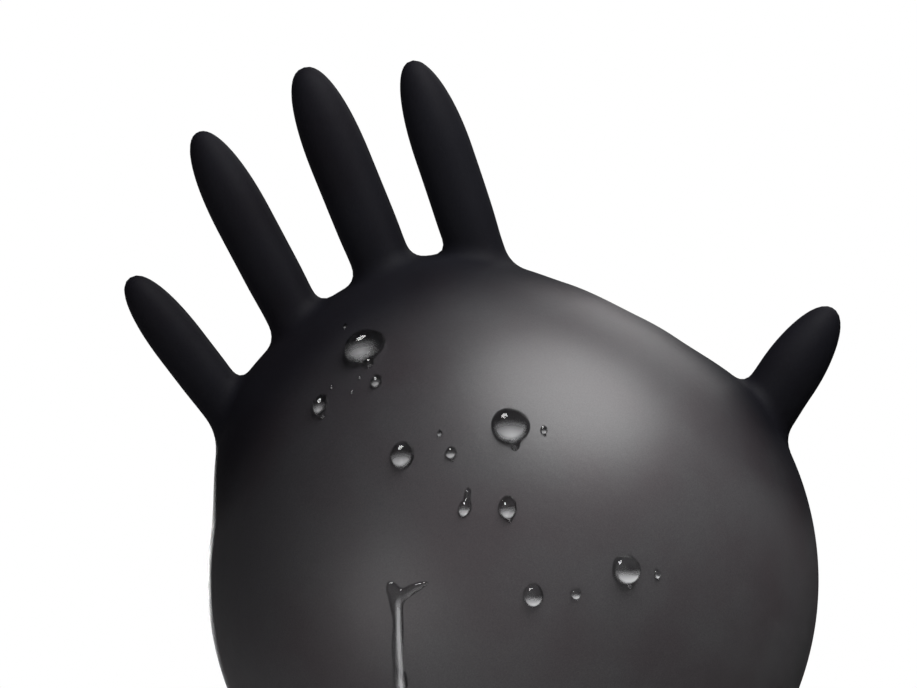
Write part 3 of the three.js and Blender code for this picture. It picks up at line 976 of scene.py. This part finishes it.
def make_world():
    """White to the camera. To everything else it is a dark room with two screens, so that the black film has
    soft light in the middle and dark edges."""
    world = bpy.data.worlds.new("studio")
    world.use_nodes = True
    n = Nodes(world.node_tree)
    way = n.add("ShaderNodeTexCoord").outputs["Generated"]
    strength, *others = [screen_light(n, way, *screen) for screen in SCREENS]
    for other in others:
        total = n.add("ShaderNodeMath", operation="ADD")
        n.link(strength, total.inputs[0])
        n.link(other, total.inputs[1])
        strength = total.outputs["Value"]
    screens = n.tree.nodes["Background"]
    screens.inputs["Color"].default_value = (1, 0.985, 1, 1)
    n.link(strength, screens.inputs["Strength"])
    white = n.add("ShaderNodeBackground")
    white.inputs["Color"].default_value = (1, 1, 1, 1)
    to_camera = n.add("ShaderNodeLightPath").outputs["Is Camera Ray"]
    mixed = n.mix_shaders(to_camera, screens.outputs["Background"], white.outputs["Background"])
    n.link(mixed, n.tree.nodes["World Output"].inputs["Surface"])
    bpy.context.scene.world = world


# ---- lights ----
def place_light(light, direction, distance, lit):
    """Puts a light in a direction and distance from the palm's centre, facing it. It lights only the pieces
    in lit."""
    obj = bpy.data.objects.new(light.name, light)
    way = Vector(direction).normalized()
    obj.location = Vector((0, 0, BALL_HEIGHT)) * MM + way * distance * MM
    obj.rotation_euler = way.to_track_quat("Z", "Y").to_euler()
    obj.visible_camera = False
    bpy.context.scene.collection.objects.link(obj)
    only = bpy.data.collections.new(light.name)
    for piece in lit:
        only.objects.link(piece)
    obj.light_linking.receiver_collection = only
    return obj


def softbox(name, direction, distance, width, power, lit, spread=180):
    """A round light whose light fades out to the sides within the angle of spread, in degrees."""
    light = bpy.data.lights.new(name, "AREA")
    light.shape = "DISK"
    light.size = width * MM
    light.energy = power
    light.spread = math.radians(spread)
    return place_light(light, direction, distance, lit)


def back_spot():
    """A soft spot on the middle of the back, too narrow to show at the glove's edges from the front."""
    distance, spot_radius, lamp_radius = 1100, 85, 60
    light = bpy.data.lights.new("back_spot", "SPOT")
    light.energy = 160.0
    light.shadow_soft_size = lamp_radius * MM
    light.spot_size = 2 * math.atan(spot_radius / distance)
    light.spot_blend = 1.0
    place_light(light, (-0.25, 0.96, 0.05), distance, film_pieces)


def light_film(lit):
    """Soft light on the film and the floor, from the upper right, the back and the front left."""
    softbox("high_softbox", (0.50, -0.34, 0.80), 760, 700, 16.0, lit)
    softbox("rim_softbox", (0.56, 0.60, 0.56), 1000, 600, 2.2, lit)
    softbox("side_softbox", (-0.64, -0.74, 0.12), 900, 520, 2.0, lit)
    back_spot()


def light_water():
    """Lights that only show as reflections on the water: glints at the drops' upper left, and wide soft ones
    from below."""
    low = [p for p in water_pieces if "_low_" in p.name or "_run_" in p.name or "rivulet" in p.name]
    high = [p for p in water_pieces if p not in low]
    lights = [
        softbox("high_glint", (-0.09, -0.08, 0.99), 900, 440, 8.0, high),
        softbox("low_glint", (-0.20, -0.50, 0.84), 900, 390, 7.4, low),
        softbox("high_glow", (-0.06, -0.82, -0.57), 600, 2400, 16.0, high, 130),
        softbox("low_glow", (-0.18, -0.50, -0.87), 600, 2400, 20.0, low, 130),
    ]
    for light in lights:
        light.visible_diffuse = False
        light.visible_transmission = False


# ---- camera ----
CAMERA_PLACE = (4.6, -3000, BALL_HEIGHT + 88)  # it looks straight to the back from here
CAMERA_LENS = 324  # focal length


def make_camera():
    """A view from the front, turned so that the glove leans to the left."""
    camera = bpy.data.cameras.new("camera")
    camera.lens = CAMERA_LENS
    camera.clip_end = 50  # metres
    view = bpy.data.objects.new("camera", camera)
    right = Vector((math.cos(LEAN), 0, -math.sin(LEAN)))
    upward = Vector((math.sin(LEAN), 0, math.cos(LEAN)))
    turned = Matrix((right, upward, Vector((0, -1, 0)))).transposed()
    view.matrix_world = Matrix.Translation(Vector(CAMERA_PLACE) * MM) @ turned.to_4x4()
    bpy.context.scene.collection.objects.link(view)
    bpy.context.scene.camera = view
    bpy.context.scene.view_settings.view_transform = "Standard"


floor = make_floor()
make_world()
light_film([*film_pieces, floor])
light_water()
make_camera()
